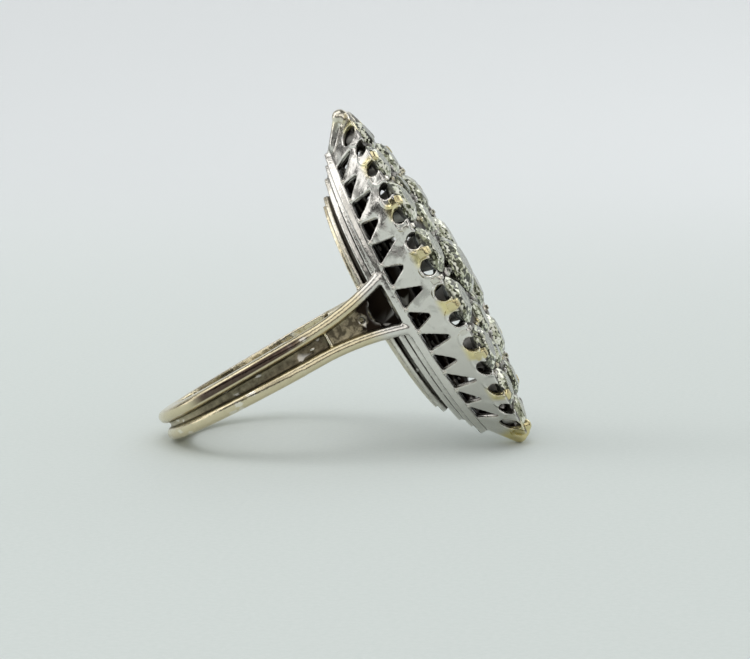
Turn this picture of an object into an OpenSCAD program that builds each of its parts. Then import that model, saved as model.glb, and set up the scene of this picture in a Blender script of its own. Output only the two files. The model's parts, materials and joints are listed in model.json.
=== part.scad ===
// Navette cluster ring: a long pointed head of old-cut stones on a split-shoulder shank.
// The ring is drawn upright first: X along the finger and the head's long axis,
// Y across the finger, Z from the palm to the head, with the finger's axis at Z = 0.
// It is then leaned over onto the head's lower point and the palm side of the shank.

/* [Shank] */
// Inside diameter, where the finger goes
bore_d = 17; // [16:0.5:18]
// Thickness of the shank from the finger to the top of its ridges
shank_t = 1.7; // [1.5:0.05:1.8]
// Width of the shank at the palm
palm_w = 2.4; // [2.2:0.05:2.6]
// Width of each of the two rounded ridges
ridge_w = 1; // [0.9:0.05:1.1]
// Depth of the channel between the ridges
channel_deep = 0.6; // [0.6:0.05:0.7]
// How far each ridge leans away from the middle, in degrees
ridge_lean = 1; // [0.8:0.1:2]

/* [Shoulders] */
// Angle from the head down to the place where the shank's round part ends
shank_end = 70; // [68:1:74]
// How far out from the middle each shoulder rod ends
rod_spread = 2.15; // [2:0.05:2.3]
// Half width of the base wire's side where the rods end
rod_end_s = 5.35; // [5.25:0.05:5.45]
// Length over which each rod runs straight before it curves outwards
rod_straight = 1.5; // [1:0.1:2]
// Thickness of the cheek under each rod
cheek_t = 0.7; // [0.6:0.05:0.8]
// Length of the recessed panel between the rods
panel_len = 6.8; // [6.4:0.1:7]
// Place of the thin bar across the channel, up from the round part's end
bar_up = 2.6; // [2.2:0.1:3]
// Diameter of the drilled hole in the panel
panel_hole_d = 0.45; // [0.3:0.05:0.6]

/* [Head] */
// Height of the gallery's lower edge above the finger's axis
gallery_z = 8.7; // [8.65:0.05:9]
// Height of the foot of the pierced wall
crown_z = 11.35; // [11.3:0.05:11.5]
// Half length of the navette at the foot of the wall
crown_l = 12; // [11.8:0.1:12.2]
// Half width of the navette at the foot of the wall
crown_w = 5.85; // [5.7:0.05:6]
// How much the points rake outwards for each millimetre of height
tip_rake = 1; // [0.9:0.05:1.1]
// How much the claws at the points lean outwards for each millimetre of height
claw_rake = 0.65; // [0.5:0.05:0.8]
// How much the sides flare outwards for each millimetre of height
side_flare = 0.34; // [0.3:0.02:0.4]
// Thickness of the pierced wall
wall_t = 0.45; // [0.4:0.05:0.6]
// Thickness of the domed plate that holds the stones
plate_t = 0.55; // [0.5:0.05:0.7]
// Height of the middle of the dome
dome_z = 15.1; // [15:0.05:15.2]
// Radius of the dome
dome_r = 70; // [65:1:80]
// Height that the wall's claws stand above the plate
claw_up = 0.25; // [0.2:0.05:0.3]
// Radius of the blunt point at each end
nose_r = 0.5; // [0.45:0.05:0.55]
// How far both points sit towards the head's upper end
point_shift = 0.2; // [0:0.05:0.3]

/* [Piercing] */
// Angle between neighbouring openings on the wall's arc
pitch = 7; // [6.9:0.1:7.1]
// Width of a triangular opening at its foot
gap_w = 1.55; // [1.4:0.05:1.6]
// Height of the tall openings, which stand between two stones
tall_h = 2.1; // [1.9:0.05:2.2]
// Height of the short openings, which stand under a stone
short_h = 1.55; // [1.4:0.05:1.7]
// Radius of the round scallops beside each claw
scallop_r = 0.6; // [0.5:0.05:0.65]
// Radius of the round hole beside each point
tip_hole_r = 0.7; // [0.6:0.05:0.75]

/* [Stones] */
// Girdle diameter of the large middle stone
middle_d = 4.8; // [4.6:0.1:5]
// How far the middle stone stands higher than the others
middle_up = 0.3; // [0.2:0.05:0.4]
// Width of a stone's table as a share of its diameter
table_share = 0.56; // [0.5:0.01:0.6]
// Room between a stone and the metal round it
stone_gap = 0.04; // [0.03:0.01:0.06]
// Radius of the grains that hold the stones
grain_r = 0.26; // [0.22:0.02:0.3]

/* [Hidden] */
$fn = 96;
eps = 0.05;

bore_r = bore_d / 2;
ring_r = bore_r + shank_t;
ridge_r = ridge_w / 2;
ridge_c = ring_r - ridge_r;
palm_a = palm_w / 2 - ridge_r;
floor_r = ring_r - channel_deep;
floor_half = 0.9;
shank_round = 360 - 2 * shank_end;

// Place of the ridge's centre where the round part ends, and the shoulder's line from there
end_s = ridge_c * sin(shank_end);
end_z = ridge_c * cos(shank_end);
end_a = palm_a + (end_z + ridge_c) * tan(ridge_lean);
rod_end_z = crown_z - 0.4;
shoulder_ang = atan2(rod_end_z - end_z, end_s - rod_end_s);
shoulder_len = norm([rod_end_z - end_z, end_s - rod_end_s]);
rod_r = ridge_r - 0.03;
cheek_in = 4.6;
// Past its straight part the rod curves away from the middle on one large arc
rod_curved = shoulder_len - rod_straight;
rod_arc_r = rod_curved * rod_curved / (2 * (rod_spread - end_a - shoulder_len * tan(ridge_lean)));
rod_start = 0.3;
panel_t = 0.45;
panel_down = 0.15;
bar_t = 0.2;
scoop_r = 0.9;
recess_half = 1.9;
recess_back = 4.5;
recess_top = 10.5;

crown_h = 4.4;
crown_scale = [(crown_l + tip_rake * crown_h) / crown_l, (crown_w + side_flare * crown_h) / crown_w];
arc_r = (crown_l * crown_l + crown_w * crown_w) / (2 * crown_w);
nose_a = 13.8;
scallop_down = 0.15;
tip_hole_k = 6.5;
tip_hole_h = 2.05;
nose_z = 13.25;

// Rows of the gallery's stepped rails, from the finger up to the base wire
// columns: lower height, upper height, half length, half width, thickness
RAILS = [
    [gallery_z, 9.1, 8.7, 4.5, 0.65],
    [9.05, 9.4, 9.3, 4.8, 0.85],
    [9.35, 9.85, 9.2, 4.45, 0.5],
    [9.8, 10.2, 10.45, 5.15, 1.0],
    [10.15, 10.4, 10.6, 5.0, 0.6],
    [10.35, 10.8, 11.3, 5.5, 0.9],
    [10.75, crown_z + eps, 12.1, 5.95, 0.85]
];

// Outer row of stones on one side: place in pitches from the middle, diameter
SIDE_STONES = [[1, 3.8], [3, 3.6], [4.85, 3]];
tip_stone = [11.85, 0, 2.7];
rim = 0.42;
// Stones down the middle: place along the head, place across it, diameter
CENTRE_STONES = [[0, 0, middle_d], [4.3, 0, 3], [-4.3, 0, 3], [7.15, 0, 2.1], [-7.15, 0, 2.1]];
// Small stones between the rows: place along the head, place across it, diameter
SMALL_STONES = [[2.98, 2.02, 1], [0, 3.05, 0.8]];

// Lean of the whole ring, from its two resting points: the ridge at the palm and the lower point
foot_a = nose_a - point_shift - palm_a;
foot_z = nose_z + ridge_c;
head_lean = acos((ridge_r - nose_r) / norm([foot_a, foot_z])) - atan2(foot_z, foot_a);
floor_h = palm_a * cos(head_lean) + ridge_c * sin(head_lean) + ridge_r;
// Middle of the ring's shadow on the surface that it rests on
mid_x = 4.793;

// Distance of a rod's centre from the middle at a length up the shoulder
function rod_a(y) = end_a + y * tan(ridge_lean) + pow(max(y - rod_straight, 0), 2) / (2 * rod_arc_r);
function lens_r(l, w) = (l * l + w * w) / (2 * w);
function base_pt(k) = [arc_r * sin(k * pitch), arc_r * cos(k * pitch) - (arc_r - crown_w)];
function grow(h) = [1 + tip_rake * h / crown_l, 1 + side_flare * h / crown_w];
function wall_pt(k, h) = [base_pt(k).x * grow(h).x, base_pt(k).y * grow(h).y];
function dome_at(p) = dome_z - dome_r + sqrt(dome_r * dome_r - p.x * p.x - p.y * p.y);
// Sideways lean of the claws and openings for each millimetre of height
function skew(k) = claw_rake / crown_l * base_pt(k).x * cos(k * pitch)
    - side_flare / crown_w * base_pt(k).y * sin(k * pitch);
// Height of the wall's top edge above its foot
function top_h(k) = dome_at([base_pt(k).x * (1 + claw_rake * 3 / crown_l), wall_pt(k, 3).y]) - crown_z;
// Centre of an outer stone, set in from the wall's top edge along the wall's normal
function side_place(s) = let (k = s[0], p = wall_pt(k, top_h(k)), back = s[1] / 2 + rim)
    [p.x - back * sin(k * pitch), p.y - back * cos(k * pitch)];

OUTER = concat(
    [for (s = SIDE_STONES, mx = [1, -1], my = [1, -1])
        [mx * side_place(s).x, my * side_place(s).y, s[1]]],
    [tip_stone, [-tip_stone.x, 0, tip_stone.z]]
);
SMALLS = concat(
    [for (s = [SMALL_STONES[0]], mx = [1, -1], my = [1, -1]) [mx * s.x, my * s.y, s[2]]],
    [for (s = [SMALL_STONES[1]], my = [1, -1]) [0, my * s.y, s[2]]]
);

// Pointed oval between two arcs
module navette(l, w) {
    r = lens_r(l, w);
    intersection() {
        translate([0, r - w]) circle(r, $fn = 144);
        translate([0, w - r]) circle(r, $fn = 144);
    }
}

// Upright ring to its resting place
module at_rest() {
    translate([-mid_x, 0, floor_h]) rotate([0, 90 - head_lean, 0]) children();
}

// A spot on the dome, with Z along the dome's normal
module on_dome(p) {
    translate([0, 0, dome_z - dome_r])
        rotate([0, asin(norm([p.x, p.y]) / dome_r), atan2(p.y, p.x)])
            translate([0, 0, dome_r]) children();
}

// A spot on the foot of the wall, with X along the wall and -Y outwards
module on_wall(k) {
    translate([base_pt(k).x, -base_pt(k).y, crown_z]) rotate([0, 0, k * pitch]) children();
}

module both_sides() {
    children();
    mirror([0, 1, 0]) children();
}

// Shoulder frame: Y up along the rod, Z outwards
module on_shoulder() {
    both_sides() translate([0, -end_s, end_z]) rotate([shoulder_ang, 0, 0]) children();
}

module ridge_profile() {
    translate([ridge_c, 0]) circle(ridge_r);
    translate([bore_r - 0.2, -ridge_r]) square([ridge_c - bore_r + 0.2, ridge_w]);
}

// Round part of the shank, seen with Z along the finger before it is turned
module round_part(angle) {
    rotate([0, 90, 0]) rotate([0, 0, -angle / 2])
        rotate_extrude(angle = angle, $fn = 180) children();
}

module shank() {
    for (s = [1, -1])
        translate([s * palm_a, 0, -ridge_c]) rotate([0, s * ridge_lean, 0]) translate([0, 0, ridge_c])
            round_part(shank_round) ridge_profile();
    round_part(shank_round) translate([bore_r - 0.2, -floor_half])
        square([floor_r - bore_r + 0.2, 2 * floor_half]);
}

module rod() {
    translate([end_a, 0, 0]) rotate([0, 0, -ridge_lean]) {
        translate([0, -rod_start, 0]) rotate([-90, 0, 0])
            cylinder(r = rod_r + 0.01, h = rod_start + rod_straight + 0.2, $fn = 48);
        translate([rod_arc_r, rod_straight, 0]) rotate([0, 0, 180 - asin(rod_curved / rod_arc_r)])
            rotate_extrude(angle = asin(rod_curved / rod_arc_r), $fn = 720)
                translate([rod_arc_r, 0]) circle(rod_r, $fn = 48);
    }
}

// Plate under each rod, down to the finger
module cheek() {
    steps = [0:shoulder_len / 8:shoulder_len + eps];
    half = cheek_t / 2;
    intersection() {
        rotate([90, 0, 90]) linear_extrude(4) polygon([
            [end_s, end_z], [rod_end_s, rod_end_z], [cheek_in, rod_end_z],
            [cheek_in, bore_r * 0.75], [bore_r * 0.8, end_z]
        ]);
        translate([0, 10, 0]) rotate([90, 0, 0]) linear_extrude(10) polygon(concat(
            [for (y = steps) [rod_a(y) + half, end_z + y * sin(shoulder_ang)]],
            [for (y = steps) [rod_a(shoulder_len - y) - half, rod_end_z - y * sin(shoulder_ang)]]
        ));
    }
}

module panel() {
    steps = [-0.5:(panel_len + 0.5) / 8:panel_len + eps];
    difference() {
        translate([0, 0, -panel_down - panel_t]) linear_extrude(panel_t) polygon(concat(
            [for (y = steps) [rod_a(y), y]],
            [for (y = steps) [-rod_a(panel_len - 0.5 - y), panel_len - 0.5 - y]]
        ));
        translate([0, panel_len + 0.45, -1]) cylinder(r = scoop_r, h = 2, $fn = 48);
        translate([0, panel_len - 1.1, -1]) cylinder(d = panel_hole_d, h = 2, $fn = 32);
    }
    translate([-rod_a(bar_up), bar_up, -panel_down - 0.1]) cube([2 * rod_a(bar_up), bar_t, 0.38]);
}

module shoulders() {
    on_shoulder() {
        rod();
        mirror([1, 0, 0]) rod();
        panel();
    }
    both_sides() {
        cheek();
        mirror([1, 0, 0]) cheek();
    }
}

module gallery() {
    difference() {
        for (r = RAILS)
            translate([0, 0, r[0]]) linear_extrude(r[1] - r[0]) difference() {
                navette(r[2], r[3]);
                navette(r[2] - 1.7 * r[4], r[3] - r[4]);
            }
        // dark recess between the rods' ends
        both_sides() translate([-recess_half, recess_back, gallery_z - 1])
            cube([2 * recess_half, 3, recess_top - gallery_z + 1]);
    }
    both_sides() translate([-recess_half - 0.3, recess_back - 0.5, gallery_z])
        cube([2 * recess_half + 0.6, 0.65, recess_top - gallery_z + 0.3]);
}

module flared(inset) {
    linear_extrude(crown_h, scale = crown_scale, slices = 1)
        navette(crown_l - 1.7 * inset, crown_w - inset);
}

module dome(lift) {
    translate([0, 0, dome_z - dome_r]) sphere(dome_r + lift, $fn = 360);
}

module opening(k, h) {
    w = gap_w / 2;
    tip = 0.12;
    on_wall(k) translate([0, 1, 0]) rotate([90, 0, 0]) linear_extrude(4)
        polygon([[-w, 0.06], [w, 0.06], [skew(k) * h + tip, h], [skew(k) * h - tip, h]]);
}

module scallop(k, h, r) {
    on_wall(k) translate([skew(k) * h, 1, h]) rotate([90, 0, 0]) cylinder(r = r, h = 4, $fn = 48);
}

module piercing() {
    both_sides() {
        opening(0, tall_h);
        for (k = [1:6], m = [0, 1])
            mirror([m, 0, 0]) opening(k, (k % 2 == 0 ? tall_h : short_h) * (top_h(k) / top_h(0)));
        for (k = [0.5:1:5.5], m = [0, 1]) mirror([m, 0, 0]) scallop(k, top_h(k) - scallop_down, scallop_r);
        for (m = [0, 1]) mirror([m, 0, 0]) scallop(tip_hole_k, tip_hole_h, tip_hole_r);
    }
}

module nose() {
    rise = nose_z - crown_z;
    run = nose_a - crown_l + 0.3;
    translate([nose_a, 0, nose_z]) sphere(nose_r, $fn = 48);
    translate([nose_a, 0, nose_z]) rotate([0, 180 + atan(run / rise), 0])
        cylinder(r1 = nose_r, r2 = nose_r * 0.7, h = norm([rise, run]), $fn = 48);
}

module crown() {
    difference() {
        translate([0, 0, crown_z]) intersection() {
            flared(0);
            translate([0, 0, -crown_z]) dome(claw_up);
            translate([-nose_a - point_shift, -10, -1]) cube([2 * nose_a, 20, 10]);
        }
        // space under the plate
        intersection() {
            translate([0, 0, crown_z - eps]) flared(wall_t);
            dome(-plate_t);
        }
        // the wall stands above the plate all round
        difference() {
            translate([0, 0, crown_z - eps]) flared(wall_t);
            dome(0);
        }
        piercing();
    }
    translate([-point_shift, 0, 0]) {
        nose();
        mirror([1, 0, 0]) nose();
    }
}

module grains() {
    for (s = OUTER, a = [130, 180, 230])
        on_dome(s) translate([(s[2] / 2 + 0.12) * cos(a), (s[2] / 2 + 0.12) * sin(a), -0.02])
                sphere(grain_r, $fn = 32);
    for (s = CENTRE_STONES, a = [30:60:330])
        on_dome(s) translate([(s[2] / 2 + 0.1) * cos(a), (s[2] / 2 + 0.1) * sin(a), 0.02])
            sphere(grain_r, $fn = 32);
}

function crown_high(d) = 0.15 * d;
function pavilion_deep(d) = 0.42 * d;
girdle_t = 0.08;

// The room that a stone takes, with the small gap round it, open above the stone
module seat(d) {
    r = d / 2 + stone_gap;
    top = crown_high(d) + 0.6;
    drop = top * (1 - table_share) * d / 2 / crown_high(d);
    girdle_low = -girdle_t / 2 - stone_gap;
    rotate_extrude($fn = 64) polygon([
        [0, girdle_low - pavilion_deep(d)], [r, girdle_low], [r, girdle_t / 2],
        [max(r - drop, 0.1), top], [0, top]
    ]);
}

module seats() {
    for (s = concat(OUTER, SMALLS)) on_dome(s) seat(s[2]);
    for (s = CENTRE_STONES) on_dome(s) translate([0, 0, s[2] == middle_d ? middle_up : 0]) seat(s[2]);
}

module mounting() color("silver") at_rest() {
    difference() {
        union() {
            shank();
            shoulders();
            gallery();
        }
        rotate([0, 90, 0]) cylinder(r = bore_r, h = 8, center = true, $fn = 180);
    }
    difference() {
        union() {
            crown();
            grains();
        }
        seats();
    }
}

// Points of a round-cut stone, ring by ring from the table down to the culet
function turn(r, z, n, from) = [for (i = [0:n - 1]) [r * cos(from + i * 360 / n), r * sin(from + i * 360 / n), z]];

module cut_stone(d) {
    r = d / 2;
    rt = r * table_share;
    zt = girdle_t / 2 + crown_high(d);
    rb = (rt + r) / 2 + 0.02 * d;
    zb = zt - (rb * cos(22.5) - rt) / (r - rt) * crown_high(d);
    zc = -girdle_t / 2 - pavilion_deep(d);
    rl = r * 0.55;
    zl = zc + rl * cos(22.5) / r * pavilion_deep(d);
    // ring starts in the list of points: table, bezel, upper girdle, lower girdle, pavilion, culet
    b = 8;
    g = 16;
    h = 32;
    l = 48;
    culet = 56;
    polyhedron(
        points = concat(turn(rt, zt, 8, 0), turn(rb, zb, 8, 22.5), turn(r, girdle_t / 2, 16, 0),
            turn(r, -girdle_t / 2, 16, 0), turn(rl, zl, 8, 22.5), [[0, 0, zc]]),
        faces = concat(
            [[for (i = [7:-1:0]) i]],
            [for (i = [0:7]) [(i + 1) % 8, b + i, i]],
            [for (i = [0:7]) [b + i, g + 2 * i, b + (i + 7) % 8, i]],
            [for (i = [0:7]) [g + 2 * i + 1, g + 2 * i, b + i]],
            [for (i = [0:7]) [g + (2 * i + 2) % 16, g + 2 * i + 1, b + i]],
            [for (i = [0:15]) [g + i, g + (i + 1) % 16, h + (i + 1) % 16, h + i]],
            [for (i = [0:7]) [h + 2 * i, h + 2 * i + 1, l + i]],
            [for (i = [0:7]) [h + 2 * i + 1, h + (2 * i + 2) % 16, l + i]],
            [for (i = [0:7]) [l + (i + 7) % 8, h + 2 * i, l + i, culet]]
        )
    );
}

module set_stone(s, lift = 0) color("white") at_rest() on_dome(s) translate([0, 0, lift]) cut_stone(s[2]);

module small_stones() for (s = SMALLS) set_stone(s);

mounting();
for (i = [0:len(OUTER) - 1])
    set_stone(OUTER[i]);
for (i = [0:len(CENTRE_STONES) - 1])
    set_stone(CENTRE_STONES[i], i == 0 ? middle_up : 0);
small_stones();
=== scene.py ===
import json
import math

import bpy
from bpy.props import FloatProperty, FloatVectorProperty, IntProperty, PointerProperty
from mathutils import Matrix, Vector


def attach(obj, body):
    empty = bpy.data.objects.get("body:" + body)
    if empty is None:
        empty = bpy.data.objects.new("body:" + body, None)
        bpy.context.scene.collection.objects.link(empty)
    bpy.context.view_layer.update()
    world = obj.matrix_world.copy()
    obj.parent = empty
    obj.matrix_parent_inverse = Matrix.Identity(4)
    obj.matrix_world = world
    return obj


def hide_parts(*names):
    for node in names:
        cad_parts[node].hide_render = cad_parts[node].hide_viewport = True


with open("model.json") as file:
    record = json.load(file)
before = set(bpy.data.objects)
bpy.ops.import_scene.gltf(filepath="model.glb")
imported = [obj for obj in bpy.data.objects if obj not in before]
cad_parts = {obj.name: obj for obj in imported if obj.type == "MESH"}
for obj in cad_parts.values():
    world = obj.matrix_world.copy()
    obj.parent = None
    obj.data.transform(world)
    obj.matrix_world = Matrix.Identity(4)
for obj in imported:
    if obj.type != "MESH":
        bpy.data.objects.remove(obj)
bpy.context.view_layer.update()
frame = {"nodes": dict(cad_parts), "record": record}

bl_info = {
    "name": "Navette Cluster Ring",
    "version": (1, 0, 0),
    "blender": (4, 5, 0),
    "location": "View3D > Sidebar > Ring",
    "description": "Dresses the navette cluster ring with worn metal, claws, grains and cut stones",
    "category": "Object",
}

MM = 0.001

# The finger bore gives the ring's own frame: X along the finger, Z from the palm to the head
BORE = next(m for m in frame["record"]["mounts"] if m["name"] == "finger_bore")
CENTRE = Vector(BORE["pos_m"])
TURN = math.atan2(-BORE["axis"][2], BORE["axis"][0])
REST = Matrix.Translation(CENTRE) @ Matrix.Rotation(TURN, 4, "Y")

# Sizes of the head in the ring's own frame, in millimetres
CROWN_Z = 11.35
CROWN_L = 12.0
CROWN_W = 5.85
ARC_R = (CROWN_L ** 2 + CROWN_W ** 2) / (2 * CROWN_W)
PITCH = 7.0
CLAW_RAKE = 0.65
SIDE_FLARE = 0.34
DOME_Z = 15.1
DOME_R = 70.0

# Round openings below the stones' edges: their pitch along the wall, how far below the dome, and rim radius
EYE_PITCH = 2.14
EYE_DOWN = 0.15
EYE_R = 0.74

# Painted shade in the grooves between the rails: lower height, upper height, how dark
RAIL_GROOVE_SHADE = (
    (9.07, 9.12, 0.6),
    (9.42, 9.78, 0.9),
    (10.20, 10.36, 0.95),
    (10.77, 10.83, 0.75),
    (11.31, 11.37, 0.6),
)

# Where the round part of the shank ends, and the slope of the shoulders from there
END_S = 9.115
END_Z = 3.318
SHOULDER = math.radians(63.74)

# Depth of the finest relief, and colours that no size sets
RELIEF = 0.03
EDGE_HIGHLIGHT = (0.95, 0.93, 0.88, 1.0)
STONE_SHADE = (0.014, 0.013, 0.009, 1.0)
PAPER_TOOTH = (0.96, 0.98, 0.97, 1.0)

# A casting with fewer triangles than this has lost its detail
FEWEST_TRIANGLES = 50000

# Line of the ridges and rods: how far from the middle at the palm, its lean, and the rods' large arc outwards
RIDGE_APART = 0.7
RIDGE_LOWEST = -9.7
RIDGE_LEAN = 0.0178
ROD_STRAIGHT = 1.5
ROD_ARC_R = 45.74

# Up the shoulder: the cross bar, the panel's drilled hole, and where the painted shade of the recess under
# the head begins and is at its darkest
BAR_AT = 2.6
HOLE_AT = 5.7
RECESS_FROM = 5.0
RECESS_FULL = 6.6

# The gold claws and the white ones between them, by their places in pitches from the middle
GOLD_PLACES = (-5, -3, -1, 1, 3, 5)
WHITE_PLACES = (-4, -2, 0, 2, 4)

# A claw: how far its middle lies in from the wall's face, its foot as a share of its width, its depth and
# height, how far its top leans in and rises, how much the top narrows, and the rounding of its edges
CLAW_INSET = 0.16
CLAW_FOOT = 0.78
CLAW_DEPTH = 0.56
CLAW_HEIGHT = 0.62
CLAW_TOP = (0, 0.14, 0.22)
CLAW_NARROWS = (0.82, 0.86, 1.0)
CLAW_ROUNDING = 0.11

# The beads at the struts' feet: their stretch, and the place of the one on the channel's floor, up the
# shoulder and inwards of the rods' line
BEAD_STRETCH = (0.8, 0.8, 1.25)
BEAD_UP_SHOULDER = 1.35
BEAD_SUNK = 0.16

# Seats of the stones: depth below the plate, rim as a share of the stone's width, how much they narrow,
# their wall, and how far below the dome the rim lies
SEAT_DEEP = 1.15
SEAT_SHARE = 0.80
SEAT_NARROWS = 0.80
SEAT_WALL = 0.12
SEAT_DOWN = 0.12

# Detail of the blended caps over the head's points
CAP_VOXEL = 0.08

# Area lights: name, place in metres, width, height, and the size that holds their power with its share.
# They all face one spot in the middle of the ring
LIGHTS = (
    ("key_light", (-0.10, -0.05, 0.42), 0.34, 0.34, "key_power", 1.0),
    ("side_light", (-0.36, -0.01, 0.16), 0.22, 0.36, "side_power", 1.0),
    ("back_light", (0.16, 0.30, 0.20), 0.25, 0.12, "side_power", 0.35),
)
LIGHT_AIM = (0, 0, 0.01)

# Brightness of the mirrored room from its floor up to its ceiling: height, brightness
ROOM_BANDS = (
    (0.0, 0.70), (0.08, 0.30), (0.14, 0.03), (0.25, 0.03),
    (0.36, 0.80), (0.72, 1.10), (0.86, 0.15), (1.0, 0.12),
)

# Paper: side of the sheet, how far it rises at the back, and radius of the sweep, in metres
PAPER = 1.6
PAPER_RISE = 0.8
PAPER_SWEEP = 0.35

# Camera: turn, height and roll in degrees, the point that it looks at in millimetres,
# and its focal length in pixels of a picture 750 pixels wide
CAMERA_TURN = -8.43
CAMERA_HEIGHT = 7.58
CAMERA_ROLL = -0.32
CAMERA_AIM = (2.47, 0, 8.44)
FOCAL_PIXELS = 2379.6
PICTURE_PIXELS = 750.0
SENSOR = 36.0


def foot_of_wall(k):
    """Foot of the wall at place k, counted in pitches from the middle."""
    a = math.radians(k * PITCH)
    return ARC_R * math.sin(a), ARC_R * math.cos(a) - (ARC_R - CROWN_W)


def on_wall(k, h, proud=0.0):
    """Point on the wall's outer face at place k and height h, in millimetres of the ring's own frame."""
    x, y = foot_of_wall(k)
    a = math.radians(k * PITCH)
    x, y = x * (1 + CLAW_RAKE * h / CROWN_L), y * (1 + SIDE_FLARE * h / CROWN_W)
    return Vector((x + proud * math.sin(a), -y - proud * math.cos(a), CROWN_Z + h))


def dome_height(x, y):
    """Height of the domed plate at a place of the plan."""
    return DOME_Z - DOME_R + math.sqrt(DOME_R ** 2 - x * x - y * y)


def top_of_wall(k):
    """Height of the wall's top above its foot at place k."""
    p = on_wall(k, 3)
    return dome_height(p.x, p.y) - CROWN_Z


# Materials


class Value:
    """A socket in a node tree, so that sums on it add Math nodes."""

    def __init__(self, paint, socket):
        self.paint = paint
        self.socket = socket

    def math(self, operation, *others):
        node = self.paint.add("ShaderNodeMath", {"operation": operation}, {0: self})
        for i, other in enumerate(others):
            self.paint.feed(node.inputs[i + 1], other)
        return Value(self.paint, node.outputs[0])

    def __add__(self, other):
        return self.math("ADD", other)

    __radd__ = __add__

    def __mul__(self, other):
        return self.math("MULTIPLY", other)

    __rmul__ = __mul__

    def __sub__(self, other):
        return self.math("SUBTRACT", other)

    def __rsub__(self, other):
        return (self * -1.0).math("ADD", other)

    def __truediv__(self, other):
        return self.math("DIVIDE", other)

    def clamped(self):
        return self.math("MAXIMUM", 0.0).math("MINIMUM", 1.0)

    def step(self, low, high):
        """0 below low, 1 above high, smooth between."""
        node = self.paint.add("ShaderNodeMapRange", {"interpolation_type": "SMOOTHSTEP"},
                              {"Value": self, "From Min": low, "From Max": high})
        return Value(self.paint, node.outputs["Result"])

    def step_mm(self, low, high):
        """The same for a length, between two lengths in millimetres."""
        return self.step(low * MM, high * MM)


class Paint:
    """The nodes of one material, or of the world."""

    def __init__(self, owner, output="ShaderNodeOutputMaterial"):
        self.owner = owner
        owner.use_nodes = True
        self.tree = owner.node_tree
        self.tree.nodes.clear()
        self.output = self.add(output)

    def finish(self, shader):
        """Gives the shader to the output, and hands the material or world back."""
        self.feed(self.output.inputs[0], shader.outputs[0])
        return self.owner

    def feed(self, socket, value):
        if isinstance(value, Value):
            self.tree.links.new(value.socket, socket)
        elif isinstance(value, bpy.types.NodeSocket):
            self.tree.links.new(value, socket)
        else:
            socket.default_value = value

    def add(self, kind, settings=None, inputs=None):
        node = self.tree.nodes.new(kind)
        for key, value in (settings or {}).items():
            if key == "stops":
                ramp = node.color_ramp.elements
                while len(ramp) < len(value):
                    ramp.new(0.5)
                for stop, (position, colour) in zip(ramp, value):
                    stop.position = position
                    stop.color = colour
            else:
                setattr(node, key, value)
        for key, value in (inputs or {}).items():
            self.feed(node.inputs[key], value)
        return node

    def value(self, node, output=0):
        return Value(self, node.outputs[output])

    def mix(self, factor, low, high):
        """Mixes two colours."""
        node = self.add("ShaderNodeMix", {"data_type": "RGBA"})
        self.feed(node.inputs[0], factor)
        self.feed(node.inputs[6], low)
        self.feed(node.inputs[7], high)
        return Value(self, node.outputs[2])

    def place(self):
        """Object coordinates turned into the ring's own frame."""
        spot = self.add("ShaderNodeTexCoord").outputs["Object"]
        back = REST.inverted()
        turned = self.add("ShaderNodeMapping", {"vector_type": "POINT"}, {
            "Vector": spot,
            "Location": back.to_translation(),
            "Rotation": back.to_euler("XYZ"),
        })
        return turned.outputs[0]

    def axes(self, vector):
        """The three parts of a vector."""
        split = self.add("ShaderNodeSeparateXYZ", None, {0: vector})
        return [self.value(split, i) for i in range(3)]

    def noise(self, vector, scale, detail=3.0, roughness=0.5, distortion=0.0):
        node = self.add("ShaderNodeTexNoise", None, {
            "Vector": vector, "Scale": scale, "Detail": detail,
            "Roughness": roughness, "Distortion": distortion,
        })
        return Value(self, node.outputs[0])


def rgba(colour):
    return (colour[0], colour[1], colour[2], 1.0)


def below_dome(along, across, up):
    """How far a spot lies below the head's domed plate."""
    return DOME_Z * MM - (along * along + across * across) * (0.5 / (DOME_R * MM)) - up


def behind_wall(along, across, up):
    """How far a spot lies in from the outer face of the head's wall."""
    above = (up - CROWN_Z * MM).math("MAXIMUM", 0.0)
    beneath = (up - CROWN_Z * MM).math("MINIMUM", 0.0) * (0.12 / MM)
    base_x = along / (above * (1.0 / (CROWN_L * MM)) + beneath + 1.0)
    chord = ((ARC_R * MM) ** 2 - base_x * base_x).math("MAXIMUM", 0.0).math("SQRT")
    outer = (chord - (ARC_R - CROWN_W) * MM) * (above * (SIDE_FLARE / (CROWN_W * MM)) + beneath + 1.0)
    return outer - across


def head_interior_shade(along, across, up):
    """Painted shade: 1 on the faces inside the hollow head, 0 on its outside."""
    low = below_dome(along, across, up)
    behind = behind_wall(along, across, up)
    head = up.step_mm(8.6, 8.7)
    hollow = low.step_mm(0.22, 0.36) * behind.step_mm(0.34, 0.46)
    # painted shade also on the plate's rim behind the round openings
    rim = low.step_mm(-0.20, -0.08) * behind.step_mm(0.38, 0.48)
    rim = rim * (1.0 - behind.step_mm(1.2, 1.7)) * 0.93
    return hollow.math("MAXIMUM", rim) * head


def plate_shade_and_specks(pits, along, across, up):
    """Painted shade on the plate between the stones, and dark specks on the grains there."""
    low = below_dome(along, across, up)
    face = (1.0 - low.step_mm(0.16, 0.24)) * behind_wall(along, across, up).step_mm(0.45, 0.60)
    plate = low.step_mm(-0.13, -0.06) * 0.93
    grains = low.step_mm(-0.6, -0.5) * pits.step(0.36, 0.60) * 0.55
    return face * plate.math("MAXIMUM", grains)


def shoulder_axes(across, up):
    """How far up the shoulder a spot is, and how far out from the line of the rods."""
    out = across - END_S * MM
    rise = up - END_Z * MM
    length = rise * math.sin(SHOULDER) - out * math.cos(SHOULDER)
    return length, out * math.sin(SHOULDER) + rise * math.cos(SHOULDER)


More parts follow.
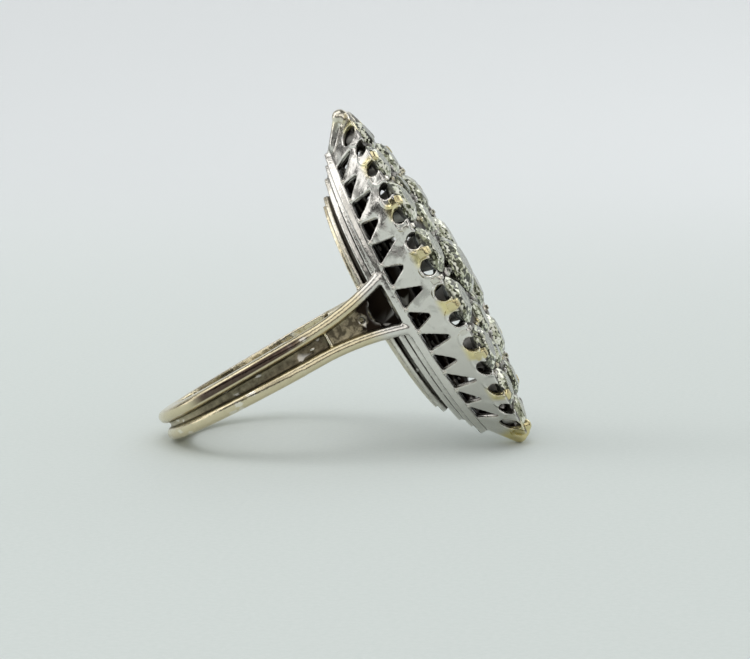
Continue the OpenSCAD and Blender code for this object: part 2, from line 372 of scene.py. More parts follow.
def from_ridge(along, across, up):
    """How far a spot lies inwards of the centre line of the nearer ridge or rod."""
    length = shoulder_axes(across, up)[0]
    curved = (length - ROD_STRAIGHT * MM).math("MAXIMUM", 0.0)
    leaning = (up - RIDGE_LOWEST * MM) * RIDGE_LEAN
    centre = leaning + curved * curved * (1.0 / (ROD_ARC_R * MM)) + RIDGE_APART * MM
    return centre - along.math("ABSOLUTE")


def between_ridges(pits, along, across, up):
    """Painted shade in the channel, on the panel with darker spots and in its drilled hole, and darkest in
    the recess under the head.
    """
    length, outwards = shoulder_axes(across, up)
    radius = (across * across + up * up).math("SQRT")
    sunk = from_ridge(along, across, up).step_mm(0.40, 0.48)
    round_part = radius.step_mm(9.2, 9.3) * (1.0 - length.step_mm(0.0, 0.3))
    shoulder = outwards.step_mm(-1.9, -1.7) * (1.0 - outwards.step_mm(-0.08, 0.03))
    shoulder = shoulder * length.step_mm(0.0, 0.3)
    # painted shade of the recess under the head
    deepest = length.step_mm(RECESS_FROM, RECESS_FULL)
    channel = 1.0 - length.step_mm(BAR_AT - 0.1, BAR_AT + 0.1)
    spots = pits.step(0.40, 0.62) * (1.0 - channel)
    palm = 1.0 - up.step_mm(-7.0, -4.0)
    beyond = length - HOLE_AT * MM
    to_hole = (along * along + beyond * beyond).math("SQRT")
    hole = 1.0 - to_hole.step_mm(0.18, 0.25)
    deepest = deepest * to_hole.step_mm(0.30, 0.60)
    shade_mask = deepest + channel * (pits * 0.8 + 0.40) + spots * 0.40 + hole + 0.46 * (1.0 - channel)
    return sunk * (round_part * (0.72 - palm * 0.35) * (pits * 1.0 + 0.5) + shoulder * shade_mask).clamped()


def round_openings(pitches, along, across, up):
    """The round openings between the claws: their raised rims, and painted shade on the cut faces inside
    them.
    """
    aside = (pitches.math("FRACT") - 0.5) * (EYE_PITCH * MM)
    beneath = below_dome(along, across, up) - EYE_DOWN * MM
    from_middle = (aside * aside + beneath * beneath).math("SQRT")
    from_rim = (from_middle - EYE_R * MM).math("ABSOLUTE")
    behind = behind_wall(along, across, up)
    high = up.step_mm(12.0, 12.3)
    rims = (1.0 - from_rim.step_mm(0.0, 0.18)) * (1.0 - behind.step_mm(0.10, 0.25)) * high
    # painted shade inside the openings
    shade_mask = (1.0 - from_middle.step_mm(0.66, 0.74)) * behind.step_mm(0.03, 0.12) * high * 0.88
    return rims, shade_mask


def rail_groove_shade(mottle, along, across, up):
    """Painted shade: dark lines in the grooves between the gallery's rails."""
    lines = 0.0
    for low, high, share in RAIL_GROOVE_SHADE:
        above = up.step_mm(low - 0.03, low + 0.02)
        beneath = 1.0 - up.step_mm(high - 0.02, high + 0.03)
        lines = above * beneath * share + lines
    outwards = shoulder_axes(across, up)[1]
    rods = (1.0 - along.math("ABSOLUTE").step_mm(2.7, 2.9)) * outwards.step_mm(-0.5, -0.4)
    return lines * (1.0 - rods) * (mottle * 1.2 + 0.35).clamped()


def gilt_tops(pitches, smears, along, across, up):
    """Gold at the top of every second strut and at both points of the head."""
    odd = (pitches * math.pi).math("COSINE") * -1.0
    low = below_dome(along, across, up)
    capped = (odd + smears * 0.5 - 0.25).step(0.25, 0.75) * (1.0 - low.step_mm(0.6, 1.2))
    points = along.step_mm(12.5, 13.2) + (along * -1.0).step_mm(12.9, 13.8) * 0.4
    return (capped * up.step_mm(12.4, 12.9) + points).clamped() * 0.9


def brown_crest(clouds, along, across, up):
    """Something brown that the upper ridge mirrors along its crest."""
    flank = from_ridge(along, across, up)
    crest = flank.step_mm(-0.36, -0.22) * (1.0 - flank.step_mm(0.17, 0.24))
    upper_ridge = 1.0 - along.step_mm(-0.1, 0.0)
    outside = (across * across + up * up).math("SQRT").step_mm(9.4, 9.6)
    reach = up.step_mm(-6.0, -4.0) * (1.0 - up.step_mm(3.4, 5.4))
    return crest * upper_ridge * outside * reach * (clouds * 1.2 + 0.50).clamped()


class Metal:
    """A metal: where a spot lies on it, its noises, and masks for painted highlights on its edges, painted
    shade in its creases and painted shade in its closed hollows.
    """

    def __init__(self, name, sizes):
        self.sizes = sizes
        self.paint = paint = Paint(bpy.data.materials.new(name))
        self.place = place = paint.place()
        along, across, up = paint.axes(place)
        self.at = (along, across.math("ABSOLUTE"), up)
        self.clouds = paint.noise(place, 260.0, detail=4.0, roughness=0.6)
        self.smears = paint.noise(place, 620.0, detail=3.0, roughness=0.65, distortion=1.2)
        self.grain = paint.noise(place, 5200.0, detail=3.0, roughness=0.6)
        self.pits = paint.noise(place, 2300.0, detail=3.0, roughness=0.6)
        stretched = paint.add("ShaderNodeMapping", None, {"Vector": place, "Scale": (1.0, 9.0, 1.4)})
        self.scratches = paint.noise(stretched.outputs[0], 2600.0, detail=5.0, roughness=0.7)
        self.relief = self.scratches * 0.35 + self.grain * 0.25 + self.smears * 2.6
        # pointiness marks the sharp edges for painted highlights and the creases for painted shade
        edge = paint.value(paint.add("ShaderNodeNewGeometry"), "Pointiness")
        self.edge_highlight = edge.step(0.50, 0.58)
        self.hollow = 1.0 - edge.step(0.42, 0.50)
        # ambient occlusion marks the recesses for painted shade
        shadow = paint.add("ShaderNodeAmbientOcclusion", {"samples": 6, "only_local": True},
                           {"Distance": sizes.shade_reach})
        self.closed = 1.0 - paint.value(shadow, "AO").step(0.22, 0.78)


def mounting_finish(metal):
    """Champagne gold up the shank, grey on the head, painted black shade in the recesses, and an uneven wall.
    """
    paint, sizes, at = metal.paint, metal.sizes, metal.at
    along, across, up = at
    pitches = along.math("ARCTAN2", across + (ARC_R - CROWN_W) * MM) * (180.0 / math.pi / PITCH)
    # the gold fades out where the shoulders meet the head
    grey = (up + along * 0.05 + metal.clouds * (1.2 * MM) - 0.6 * MM).step_mm(8.2, 9.9)
    base = paint.mix(grey, rgba(sizes.gold), rgba(sizes.head_metal))
    base = paint.mix(gilt_tops(pitches, metal.smears, *at), base, rgba(sizes.claw_gold))
    base = paint.mix(brown_crest(metal.clouds, *at), base, rgba(sizes.brown))
    # the wall mirrors dark patches of the room, most so towards its upper end
    fading = 1.0 - along.step_mm(-3.0, 6.0)
    patches = metal.smears.step(0.50, 0.66) * fading * up.step_mm(11.3, 11.6)
    # painted shade in recesses and creases, random smudged tone, and the painted reflection of dark patches
    shade_and_grime = metal.closed * 1.05 + metal.hollow * 0.30 + (metal.smears - 0.5) * 0.35 + patches * 0.42
    shade_and_grime = shade_and_grime.clamped()
    rims, shade_in_openings = round_openings(pitches, *at)
    # then the painted shade inside the head, between the ridges, in the grooves, on the plate and in the
    # openings
    for more in (
        head_interior_shade(*at),
        between_ridges(metal.pits, *at),
        rail_groove_shade(metal.clouds, *at),
        plate_shade_and_specks(metal.pits, *at),
        shade_in_openings,
    ):
        shade_and_grime = shade_and_grime.math("MAXIMUM", more)
    # the wall is uneven, and again most so towards its upper end
    uneven = (1.0 - along.step_mm(-5.0, 4.0)) * 26.0 + 5.0
    waves = paint.noise(metal.place, 480.0, detail=1.0, roughness=0.5) * uneven * up.step_mm(11.2, 11.6)
    return base, shade_and_grime, metal.edge_highlight, metal.relief + waves + rims * 5.0


def gold_finish(metal):
    """Fuller gold towards the head's lower end, and hardly any on its upper point."""
    paint, sizes, along = metal.paint, metal.sizes, metal.at[0]
    lower = along.step_mm(-1.0, 1.0) * 0.3 + 0.7
    base = paint.mix(metal.clouds * lower + 0.1, rgba(sizes.gold), rgba(sizes.claw_gold))
    upper_point = (along * -1.0).step_mm(12.4, 12.8) * 0.7
    return trim_finish(metal, paint.mix(upper_point, base, rgba(sizes.head_metal)))


def white_finish(metal):
    """The head's grey, with a little of the shank's gold."""
    sizes = metal.sizes
    base = metal.paint.mix(metal.clouds * 0.4, rgba(sizes.head_metal), rgba(sizes.gold))
    return trim_finish(metal, base)


def trim_finish(metal, base):
    """Less painted shade and grime, and fainter painted edge highlights, as on all the small trim."""
    shade_and_grime = (metal.closed * 0.5 + (metal.smears - 0.45) * 0.6).clamped()
    return base, shade_and_grime, metal.edge_highlight * 0.3, metal.relief


def cast_metal(name, sizes, finish):
    """Polished alloy, with the colour, painted shade and grime, painted edge highlights and relief that its
    finish gives.
    """
    metal = Metal(name, sizes)
    base, shade_and_grime, edge_highlight, relief = finish(metal)
    paint = metal.paint
    # painted shade and grime
    base = paint.mix(shade_and_grime, base, rgba(sizes.shade_and_grime_colour))
    # painted highlights on the edges
    base = paint.mix((edge_highlight * 0.55).clamped(), base, EDGE_HIGHLIGHT)
    rough = metal.grain * 0.10 + metal.scratches * 0.12 + shade_and_grime * 0.35 + metal.smears * 0.10 - edge_highlight * 0.05
    rough = (rough + (sizes.roughness - 0.16)).clamped()
    bump = paint.add("ShaderNodeBump", None, {
        "Strength": 0.5, "Distance": RELIEF * MM, "Height": relief,
    })
    return paint.finish(paint.add("ShaderNodeBsdfPrincipled", None, {
        "Base Color": base, "Metallic": 1.0, "Roughness": rough, "Normal": bump.outputs[0],
    }))


def folded(paint, place, centre):
    """The place round a stone's middle, folded eight times, so that glints repeat as facets mirror them."""
    local = paint.add("ShaderNodeVectorMath", {"operation": "SUBTRACT"}, {0: place, 1: centre})
    x, y, z = paint.axes(local.outputs[0])
    radius = (x * x + y * y).math("SQRT")
    angle = (y.math("ARCTAN2", x) + math.pi).math("PINGPONG", math.pi / 8)
    fold = paint.add("ShaderNodeCombineXYZ", None, {
        0: radius * angle.math("COSINE"), 1: radius * angle.math("SINE"), 2: z,
    })
    # each stone shows its own glints
    moved = paint.add("ShaderNodeVectorMath", None, {0: fold.outputs[0], 1: centre * 7.0})
    return moved.outputs[0]


def cut_diamond(name, sizes, centre=None):
    """Old-cut diamond with painted light: a smooth grey table of painted reflection, facets broken into
    black, grey and white painted glints, and painted shade underneath.
    """
    paint = Paint(bpy.data.materials.new(name))
    place = paint.place()
    along, across, up = paint.axes(place)
    across = across.math("ABSOLUTE")
    facing = paint.add("ShaderNodeNewGeometry")
    turned = paint.add("ShaderNodeVectorMath", {"operation": "DOT_PRODUCT"}, {
        0: facing.outputs["True Normal"], 1: REST.to_3x3() @ Vector((0, 0, 1)),
    })
    rise = paint.value(turned, "Value")
    # painted glints differ from facet to facet, because each facet rises at its own slope
    pattern = place if centre is None else folded(paint, place, centre)
    spread = paint.add("ShaderNodeCombineXYZ", None, {2: rise * 0.002})
    shifted = paint.add("ShaderNodeVectorMath", None, {0: pattern, 1: spread.outputs[0]})
    cells = paint.add("ShaderNodeTexVoronoi", None, {
        "Vector": shifted.outputs[0], "Scale": sizes.glint_scale,
    })
    split = paint.add("ShaderNodeSeparateColor", None, {0: cells.outputs["Color"]})
    glint = paint.value(split, 0)
    blotch = paint.noise(place, 900.0, detail=3.0, roughness=0.6)
    shade = (glint * 0.8 + blotch * 0.5 - 0.15).clamped()
    ramp = paint.add("ShaderNodeValToRGB", {"stops": (
        (0.0, (0.012, 0.014, 0.010, 1.0)),
        (0.27, (0.045, 0.047, 0.027, 1.0)),
        (0.42, (0.19, 0.20, 0.115, 1.0)),
        (0.54, (0.44, 0.46, 0.32, 1.0)),
        (0.68, rgba(sizes.stone_light)),
        (0.80, (1.0, 1.0, 0.86, 1.0)),
    )}, {0: shade})
    # the flat table is painted as a smooth grey reflection: its normal points along the head's own height
    table = rise.step(0.925, 0.955)
    smooth = paint.mix(blotch, rgba(sizes.stone_dark), rgba(sizes.table_colour))
    base = paint.mix(table * 0.75, ramp.outputs[0], smooth)
    # painted shade where other parts lie close, and on the undersides below the domed plate
    shadow = paint.add("ShaderNodeAmbientOcclusion", {"samples": 4}, {"Distance": 0.9 * MM})
    sunk = 1.0 - paint.value(shadow, "AO").step(0.15, 0.7)
    low = below_dome(along, across, up)
    under = low.step_mm(0.0, 0.16)
    # painted shade on the stones' outer edges behind the wall's round openings
    near_wall = 1.0 - behind_wall(along, across, up).step_mm(0.85, 1.15)
    edge = low.step_mm(-0.42, -0.20) * near_wall
    dark = (sunk * 0.55).math("MAXIMUM", under * 0.95).math("MAXIMUM", edge * 0.80)
    base = paint.mix(dark, base, STONE_SHADE)
    rough = (glint * 0.15 + table * 0.12 + under * 0.35 + 0.05).clamped()
    bump = paint.add("ShaderNodeBump", None, {
        "Strength": 0.5, "Distance": RELIEF * MM, "Height": glint * (1.0 - table * 0.8),
    })
    return paint.finish(paint.add("ShaderNodeBsdfPrincipled", None, {
        "Base Color": base, "Metallic": 0.35, "Roughness": rough, "IOR": 1.7, "Normal": bump.outputs[0],
    }))


def paper_floor(name, sizes):
    """Matt pale paper that the ring lies on, with painted light: paler and slightly cooler farther back."""
    paint = Paint(bpy.data.materials.new(name))
    spot = paint.add("ShaderNodeTexCoord").outputs["Object"]
    back = paint.axes(spot)[1].step(-0.02, 0.35)
    tooth = paint.noise(spot, 2600.0, detail=4.0, roughness=0.7).step(0.32, 0.68)
    base = paint.mix(back, rgba(sizes.floor_colour), rgba(sizes.lit_back_colour))
    base = paint.mix(tooth * 0.10, base, PAPER_TOOTH)
    return paint.finish(paint.add("ShaderNodeBsdfPrincipled", None, {
        "Base Color": base, "Roughness": 0.7, "Specular IOR Level": 0.2,
    }))


def mirrored_room(sizes):
    """Even pale light on the paper, and a room with bright and dark walls for the metal to mirror."""
    paint = Paint(bpy.data.worlds.new("studio"), "ShaderNodeOutputWorld")
    direction = paint.add("ShaderNodeTexCoord").outputs["Generated"]
    stops = [(height, (bright, bright * 0.985, bright * 0.96, 1.0)) for height, bright in ROOM_BANDS]
    bands = paint.add("ShaderNodeValToRGB", {"stops": stops}, {0: paint.axes(direction)[2]})
    walls = paint.add("ShaderNodeTexNoise", None, {"Vector": direction, "Scale": 1.4, "Detail": 1.0})
    patchy = paint.value(walls) * 3.2 - 0.75
    mirrored = paint.add("ShaderNodeBackground", None, {0: bands.outputs[0], 1: patchy})
    even = paint.add("ShaderNodeBackground", None, {0: (1.0, 1.0, 1.0, 1.0), 1: sizes.room_light})
    path = paint.add("ShaderNodeLightPath")
    return paint.finish(paint.add("ShaderNodeMixShader", None, {
        0: path.outputs["Is Glossy Ray"], 1: even.outputs[0], 2: mirrored.outputs[0],
    }))


# Shared steps of modelling


def deselect_all():
    if bpy.context.object is not None and bpy.context.object.mode != "OBJECT":
        bpy.ops.object.mode_set(mode="OBJECT")
    bpy.ops.object.select_all(action="DESELECT")


def take_up(piece):
    """Makes a piece the only one selected."""
    deselect_all()
    piece.select_set(True)
    bpy.context.view_layer.objects.active = piece


def apply_all(piece):
    take_up(piece)
    for modifier in list(piece.modifiers):
        bpy.ops.object.modifier_apply(modifier=modifier.name)


def add_modifier(piece, kind, **settings):
    modifier = piece.modifiers.new(kind.title(), kind)
    for key, value in settings.items():
        setattr(modifier, key, value)
    return modifier


def copy_to(piece, matrix):
    """A copy with a mesh of its own, moved by the matrix."""
    twin = piece.copy()
    twin.data = piece.data.copy()
    twin.data.transform(matrix)
    if matrix.determinant() < 0:
        twin.data.flip_normals()
    bpy.context.collection.objects.link(twin)
    return twin


def join(pieces, name):
    deselect_all()
    for piece in pieces:
        piece.select_set(True)
    bpy.context.view_layer.objects.active = pieces[0]
    if len(pieces) > 1:
        bpy.ops.object.join()
    joined = bpy.context.object
    joined.name = joined.data.name = name
    return joined


def both_sides(pieces, name):
    """Joins the pieces of the near side and their mirror images, and sets them down as one piece."""
    row = join(pieces, name)
    twin = copy_to(row, Matrix.Scale(-1, 4, (0, 1, 0)))
    return set_down(join([row, twin], name))


def set_down(piece, angle=35.0):
    """Places a piece modelled in the ring's own frame, in millimetres, and finishes its shading."""
    piece.data.transform(REST @ Matrix.Scale(MM, 4))
    piece.matrix_world = Matrix.Identity(4)
    take_up(piece)
    bpy.ops.object.mode_set(mode="EDIT")
    bpy.ops.mesh.select_all(action="SELECT")
    bpy.ops.mesh.normals_make_consistent(inside=False)
    bpy.ops.object.mode_set(mode="OBJECT")
    bpy.ops.object.shade_smooth_by_angle(angle=math.radians(angle))
    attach(piece, "root")
    return piece


def wear(piece, material):
    piece.data.materials.clear()
    piece.data.materials.append(material)
    for face in piece.data.polygons:
        face.material_index = 0


def extent(points):
    """Lowest and highest corner of the points."""
    return (Vector([min(p[i] for p in points) for i in range(3)]),
            Vector([max(p[i] for p in points) for i in range(3)]))


class RingSizes(bpy.types.PropertyGroup):
    gold: FloatVectorProperty(
        name="Shank gold", description="Colour of the shank's alloy",
        subtype="COLOR", size=3, min=0, max=1, default=(0.68, 0.60, 0.40))
    claw_gold: FloatVectorProperty(
        name="Claw gold", description="Colour of the claws' gold tops",
        subtype="COLOR", size=3, min=0, max=1, default=(0.86, 0.75, 0.37))
    head_metal: FloatVectorProperty(
        name="Head metal", description="Colour of the head's white alloy",
        subtype="COLOR", size=3, min=0, max=1, default=(0.76, 0.74, 0.69))
    # colour of the painted shade in the recesses, and of the grime
    shade_and_grime_colour: FloatVectorProperty(
        name="Tarnish", description="Colour of the dirt in the recesses",
        subtype="COLOR", size=3, min=0, max=1, default=(0.020, 0.014, 0.010))
    brown: FloatVectorProperty(
        name="Brown crest", description="Colour that the upper ridge's crest mirrors",
        subtype="COLOR", size=3, min=0, max=1, default=(0.062, 0.030, 0.016))
    # reach of the ambient occlusion that paints shade in the recesses
    shade_reach: FloatProperty(
        name="Soil reach", description="How narrow a hollow must be to hold dirt",
        subtype="DISTANCE", min=0.5 * MM, max=5 * MM, default=2.4 * MM)
    roughness: FloatProperty(
        name="Polish", description="Roughness of the worn polish",
        subtype="FACTOR", min=0, max=1, default=0.18)
    voxel: FloatProperty(
        name="Casting detail", description="Size of the smallest rounding of the cast metal",
        subtype="DISTANCE", min=0.05 * MM, max=0.3 * MM, default=0.085 * MM)
    triangles: IntProperty(
        name="Casting triangles", description="Triangles that the cast metal is thinned to",
        min=20000, max=199000, default=195000)
    claw_size: FloatProperty(
        name="Claw width", description="Width of a gold claw's top",
        subtype="DISTANCE", min=0.4 * MM, max=1.4 * MM, default=1.0 * MM)
    bead_size: FloatProperty(
        name="Bead size", description="Diameter of the bead at a strut's foot",
        subtype="DISTANCE", min=0.2 * MM, max=0.6 * MM, default=0.36 * MM)


class StoneSizes(bpy.types.PropertyGroup):
    stone_light: FloatVectorProperty(
        name="Bright facets", description="Colour of the stones' bright glints",
        subtype="COLOR", size=3, min=0, max=1, default=(0.84, 0.87, 0.66))
    stone_dark: FloatVectorProperty(
        name="Dark table", description="Darker grey of the stones' tables",
        subtype="COLOR", size=3, min=0, max=1, default=(0.17, 0.18, 0.16))
    table_colour: FloatVectorProperty(
        name="Pale table", description="Paler grey of the stones' tables",
        subtype="COLOR", size=3, min=0, max=1, default=(0.38, 0.39, 0.30))
    glint_scale: FloatProperty(
        name="Glints", description="Number of glints in a metre",
        min=500, max=9000, default=4200)


class StageSizes(bpy.types.PropertyGroup):
    floor_colour: FloatVectorProperty(
        name="Floor", description="Colour of the paper near the ring",
        subtype="COLOR", size=3, min=0, max=1, default=(0.675, 0.73, 0.705))
    # painted light: the paper farther back is paler than near the ring
    lit_back_colour: FloatVectorProperty(
        name="Background", description="Colour of the paper farther back",
        subtype="COLOR", size=3, min=0, max=1, default=(0.88, 0.91, 0.92))
    room_light: FloatProperty(
        name="Room light", description="Strength of the soft light from all round",
        min=0, max=3, default=0.67)
    key_power: FloatProperty(
        name="Key light", description="Power of the large soft light above",
        subtype="POWER", min=0, max=20, default=0.45)
    side_power: FloatProperty(
        name="Side light", description="Power of the long light at the left",
        subtype="POWER", min=0, max=20, default=0.30)
    distance: FloatProperty(
        name="Camera distance", description="Distance from the camera to the ring",
        subtype="DISTANCE", min=0.1, max=0.5, default=0.18)


class RING_OT_cast_mounting(bpy.types.Operator):
    """The soldered mounting, with the softened edges of worn cast metal"""

    bl_idname = "ring.cast_mounting"
    bl_label = "Cast mounting"

    def execute(self, context):
        sizes = context.scene.ring_sizes
        deselect_all()
        casting = copy_to(frame["nodes"]["mounting"], Matrix.Identity(4))
        casting.parent = None
        for key in list(casting.keys()):
            del casting[key]
        casting.name = casting.data.name = "cast_mounting"
        take_up(casting)
        bpy.ops.object.mode_set(mode="EDIT")
        bpy.ops.mesh.select_all(action="SELECT")
        bpy.ops.mesh.remove_doubles(threshold=0.002 * MM)
        bpy.ops.object.mode_set(mode="OBJECT")
        add_modifier(casting, "REMESH", mode="VOXEL", voxel_size=sizes.voxel, use_smooth_shade=True)
        add_modifier(casting, "SMOOTH", factor=0.5, iterations=5)
        apply_all(casting)
        triangles = len(casting.data.polygons) * 2
        if triangles < FEWEST_TRIANGLES:
            raise RuntimeError("the casting came out with too few faces")
        if triangles > sizes.triangles:
            add_modifier(casting, "DECIMATE", ratio=sizes.triangles / triangles)
            apply_all(casting)
        bpy.ops.object.shade_smooth()
        wear(casting, cast_metal("shaded_white_gold", sizes, mounting_finish))
        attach(casting, "root")
        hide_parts("mounting")
        return {"FINISHED"}


class RING_OT_claws(bpy.types.Operator):
    """Gold claws over the outer stones, and pointed white claws between them"""

    bl_idname = "ring.claws"
    bl_label = "Claws"

    def execute(self, context):
        sizes = context.scene.ring_sizes
        width = sizes.claw_size / MM
        deselect_all()
        # one gold claw: a flat-topped pad that leans in over the stone
        bpy.ops.mesh.primitive_cube_add(size=1.0, location=(0, 0, 0))
        claw = bpy.context.object
        claw.data.transform(Matrix.Diagonal((width * CLAW_FOOT, CLAW_DEPTH, CLAW_HEIGHT, 1.0)))
        bpy.ops.object.mode_set(mode="EDIT")
        bpy.ops.mesh.select_all(action="DESELECT")
        bpy.ops.object.mode_set(mode="OBJECT")
        for face in claw.data.polygons:
            face.select = face.normal.z > 0.9
        bpy.ops.object.mode_set(mode="EDIT")
        bpy.ops.mesh.extrude_region_move(TRANSFORM_OT_translate={"value": CLAW_TOP})
        bpy.ops.transform.resize(value=CLAW_NARROWS)
        bpy.ops.mesh.select_all(action="SELECT")
        bpy.ops.mesh.bevel(offset=CLAW_ROUNDING, segments=3, profile=0.6, affect="EDGES")
        bpy.ops.object.mode_set(mode="OBJECT")
        add_modifier(claw, "SUBSURF", levels=1, render_levels=1)
        apply_all(claw)
        golds = [self.seat(claw, k, lift=-0.02, proud=0.04, share=0.95) for k in GOLD_PLACES]
        whites = [self.seat(claw, k, lift=-0.16, proud=-0.04, share=0.55) for k in WHITE_PLACES]
        bpy.data.objects.remove(claw)
        wear(both_sides(golds, "gold_claws"), cast_metal("claw_gold", sizes, gold_finish))
        wear(both_sides(whites, "white_claws"), cast_metal("claw_white", sizes, white_finish))
        return {"FINISHED"}

    def seat(self, claw, k, lift, proud, share):
        """A copy of the claw at place k, lifted, standing proud of the wall, and narrowed to a share."""
        spot = on_wall(k, top_of_wall(k) + lift, proud - CLAW_INSET)
        lean = math.atan(SIDE_FLARE)
        stand = Matrix.Translation(spot) @ Matrix.Rotation(math.radians(k * PITCH), 4, "Z")
        stand = stand @ Matrix.Rotation(lean, 4, "X") @ Matrix.Diagonal((share, 1.0, 1.0, 1.0))
        return copy_to(claw, stand)


class RING_OT_points(bpy.types.Operator):
    """Blunt gold caps over the two points of the head"""

    bl_idname = "ring.points"
    bl_label = "Gold points"

    # balls that each cap is blended from: place along the head, height, radius
    LOWER = ((13.495, 13.309, 0.62), (13.36, 13.65, 0.58), (13.10, 14.0, 0.52))
    UPPER = ((-13.895, 13.191, 0.62), (-13.62, 13.42, 0.57), (-13.20, 13.62, 0.50))

    def execute(self, context):
        sizes = context.scene.ring_sizes
        caps = []
        for along, up, radius in self.LOWER + self.UPPER:
            deselect_all()
            bpy.ops.mesh.primitive_uv_sphere_add(segments=24, ring_count=16, radius=radius)
            ball = bpy.context.object
            ball.data.transform(Matrix.Translation((along, 0, up)))
            caps.append(ball)
        cap = join(caps, "gold_points")
        add_modifier(cap, "REMESH", mode="VOXEL", voxel_size=CAP_VOXEL, use_smooth_shade=True)
        add_modifier(cap, "SMOOTH", factor=0.5, iterations=2)
        apply_all(cap)
        set_down(cap, 60.0)
        wear(cap, cast_metal("point_gold", sizes, gold_finish))
        return {"FINISHED"}


class RING_OT_strut_beads(bpy.types.Operator):
    """Small bright beads where the struts of the wall stand on the base wire"""

    bl_idname = "ring.strut_beads"
    bl_label = "Strut beads"

    def execute(self, context):
        sizes = context.scene.ring_sizes
        deselect_all()
        bpy.ops.mesh.primitive_uv_sphere_add(segments=12, ring_count=8, radius=sizes.bead_size / MM / 2)
        bead = bpy.context.object
        bead.data.transform(Matrix.Diagonal((*BEAD_STRETCH, 1.0)))
        feet = [on_wall(k + 0.5, h=0.12, proud=-0.02) for k in range(-6, 6)]
        # one on the channel's floor, below the bar of the shoulder
        up_rod = Vector((0, math.cos(SHOULDER), math.sin(SHOULDER)))
        outwards = Vector((0, -math.sin(SHOULDER), math.cos(SHOULDER)))
        feet.append(Vector((0, -END_S, END_Z)) + up_rod * BEAD_UP_SHOULDER - outwards * BEAD_SUNK)
        beads = [copy_to(bead, Matrix.Translation(foot)) for foot in feet]
        bpy.data.objects.remove(bead)
        row = both_sides(beads, "strut_beads")
        wear(row, cast_metal("bead_white", sizes, white_finish))
        return {"FINISHED"}


class RING_OT_seats(bpy.types.Operator):
    """Drilled seats that the outer stones sit in, below the domed plate"""

    bl_idname = "ring.seats"
    bl_label = "Seats"

    def execute(self, context):
        deselect_all()
        # a slightly tapered tube of unit radius, with its rim at height 0
        bpy.ops.mesh.primitive_cone_add(vertices=40, radius1=SEAT_NARROWS, radius2=1.0, depth=1.0,
                                        end_fill_type="NOTHING", location=(0, 0, -0.5))
        seat = bpy.context.object
        bpy.ops.object.transform_apply(location=True)
        add_modifier(seat, "SOLIDIFY", thickness=SEAT_WALL, offset=-1.0)
        apply_all(seat)
        back = REST.inverted()
        seats = []
        for name, node in frame["nodes"].items():
            if name.startswith("outer_stone"):
                low, high = extent([back @ v.co for v in node.data.vertices])
                middle = (low + high) / (2 * MM)
                radius = (high.y - low.y) / (2 * MM) * SEAT_SHARE
                top = dome_height(middle.x, middle.y) - SEAT_DOWN
                shape = Matrix.Diagonal((radius, radius, SEAT_DEEP, 1.0))
                seats.append(copy_to(seat, Matrix.Translation((middle.x, middle.y, top)) @ shape))
        bpy.data.objects.remove(seat)
        row = set_down(join(seats, "stone_seats"))
        # the seats take the mounting's material, with its painted shade
        wear(row, bpy.data.materials["shaded_white_gold"])
        return {"FINISHED"}


class RING_OT_stones(bpy.types.Operator):
    """The finish of the cut stones"""

    bl_idname = "ring.stones"
    bl_label = "Cut stones"

    def execute(self, context):
        sizes = context.scene.stone_sizes
        back = REST.inverted()
        for name, node in frame["nodes"].items():
            if name == "mounting":
                continue
            if name == "small_stones":
                stone = cut_diamond("small_diamonds", sizes)
            else:
                low, high = extent([back @ v.co for v in node.data.vertices])
                stone = cut_diamond("cut_" + name, sizes, (low + high) / 2)
            for slot in node.material_slots:
                slot.material = stone
        return {"FINISHED"}


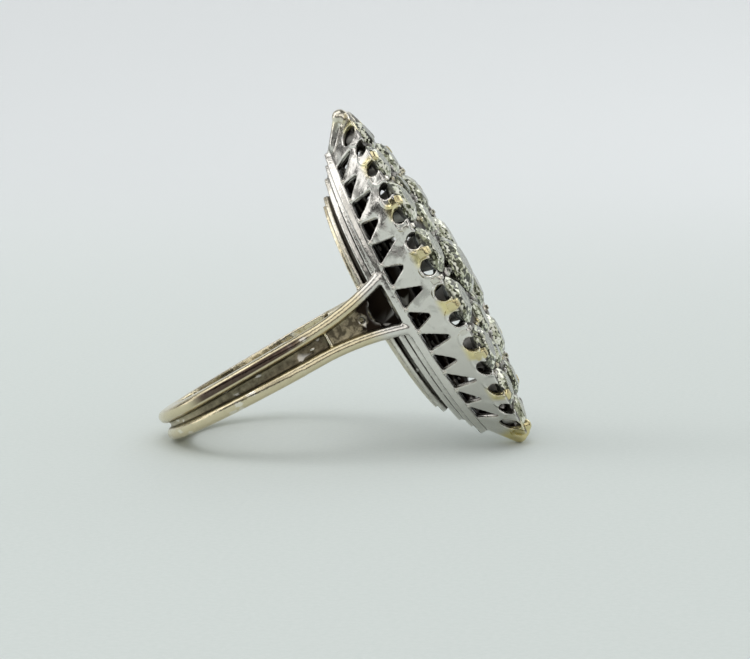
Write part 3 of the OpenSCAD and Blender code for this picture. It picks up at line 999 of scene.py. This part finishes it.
class RING_OT_stage(bpy.types.Operator):
    """Pale paper sweep, soft lights and the camera"""

    bl_idname = "ring.stage"
    bl_label = "Stage"

    def execute(self, context):
        sizes = context.scene.stage_sizes
        floor = self.paper()
        wear(floor, paper_floor("pale_paper", sizes))
        for name, place, wide, tall, power, share in LIGHTS:
            self.light(name, place, wide, tall, getattr(sizes, power) * share)
        context.scene.world = mirrored_room(sizes)
        context.scene.view_settings.view_transform = "Standard"
        context.scene.cycles.use_denoising = True
        self.camera(context, sizes)
        return {"FINISHED"}

    def paper(self):
        """One sheet that lies flat under the ring and sweeps up behind it."""
        deselect_all()
        bpy.ops.mesh.primitive_plane_add(size=PAPER, location=(0, -0.2, 0))
        floor = bpy.context.object
        floor.name = floor.data.name = "paper_sweep"
        bpy.ops.object.transform_apply(location=True)
        self.select_back_edge(floor)
        bpy.ops.mesh.extrude_region_move(TRANSFORM_OT_translate={"value": (0, 0, PAPER_RISE)})
        self.select_back_edge(floor)
        bpy.ops.mesh.bevel(offset=PAPER_SWEEP, segments=16, affect="EDGES")
        bpy.ops.object.mode_set(mode="OBJECT")
        bpy.ops.object.shade_smooth()
        return floor

    def select_back_edge(self, floor):
        """Selects the sheet's back edge where it lies on the ground, and stays in edit mode."""
        bpy.ops.object.mode_set(mode="EDIT")
        bpy.ops.mesh.select_all(action="DESELECT")
        bpy.ops.object.mode_set(mode="OBJECT")
        for edge in floor.data.edges:
            ends = [floor.data.vertices[i].co for i in edge.vertices]
            edge.select = min(e.y for e in ends) > 0.5 and max(e.z for e in ends) < 0.01
        bpy.ops.object.mode_set(mode="EDIT")

    def light(self, name, place, wide, tall, power):
        lamp = bpy.data.lights.new(name, "AREA")
        lamp.shape = "RECTANGLE"
        lamp.size = wide
        lamp.size_y = tall
        lamp.energy = power
        holder = bpy.data.objects.new(name, lamp)
        holder.location = place
        aim = Vector(LIGHT_AIM) - Vector(place)
        holder.rotation_euler = aim.to_track_quat("-Z", "Y").to_euler()
        bpy.context.collection.objects.link(holder)

    def camera(self, context, sizes):
        turn, height, roll = (math.radians(a) for a in (CAMERA_TURN, CAMERA_HEIGHT, CAMERA_ROLL))
        ahead = Vector((
            math.sin(turn) * math.cos(height), math.cos(turn) * math.cos(height), -math.sin(height),
        ))
        right = Vector((math.cos(turn), -math.sin(turn), 0))
        above = right.cross(ahead)
        rolled_right = right * math.cos(roll) + above * math.sin(roll)
        rolled_up = above * math.cos(roll) - right * math.sin(roll)
        lens = bpy.data.cameras.new("camera")
        lens.sensor_width = SENSOR
        lens.lens = FOCAL_PIXELS * SENSOR / PICTURE_PIXELS
        lens.clip_start = 0.005
        holder = bpy.data.objects.new("camera", lens)
        axes = Matrix((rolled_right, rolled_up, -ahead)).transposed().to_4x4()
        eye = Vector(CAMERA_AIM) * MM - ahead * sizes.distance
        holder.matrix_world = Matrix.Translation(eye) @ axes
        context.collection.objects.link(holder)
        context.scene.camera = holder


class RING_PT_panel(bpy.types.Panel):
    """The ring's pieces, in the order that they are made"""

    bl_idname = "RING_PT_panel"
    bl_label = "Navette ring"
    bl_space_type = "VIEW_3D"
    bl_region_type = "UI"
    bl_category = "Ring"

    def draw(self, context):
        for maker in MAKERS:
            self.layout.operator(maker.bl_idname)
        for group in ("ring_sizes", "stone_sizes", "stage_sizes"):
            sizes = getattr(context.scene, group)
            for name in sizes.bl_rna.properties.keys():
                if name not in ("rna_type", "name"):
                    self.layout.prop(sizes, name)


MAKERS = (
    RING_OT_cast_mounting, RING_OT_claws, RING_OT_points, RING_OT_strut_beads, RING_OT_seats,
    RING_OT_stones, RING_OT_stage,
)
CLASSES = (RingSizes, StoneSizes, StageSizes) + MAKERS + (RING_PT_panel,)


def register():
    for kind in CLASSES:
        bpy.utils.register_class(kind)
    bpy.types.Scene.ring_sizes = PointerProperty(type=RingSizes)
    bpy.types.Scene.stone_sizes = PointerProperty(type=StoneSizes)
    bpy.types.Scene.stage_sizes = PointerProperty(type=StageSizes)


def unregister():
    del bpy.types.Scene.stage_sizes
    del bpy.types.Scene.stone_sizes
    del bpy.types.Scene.ring_sizes
    for kind in reversed(CLASSES):
        bpy.utils.unregister_class(kind)


def main():
    register()
    bpy.ops.ring.cast_mounting()
    bpy.ops.ring.claws()
    bpy.ops.ring.points()
    bpy.ops.ring.strut_beads()
    bpy.ops.ring.seats()
    bpy.ops.ring.stones()
    bpy.ops.ring.stage()


if __name__ == "__main__":
    main()
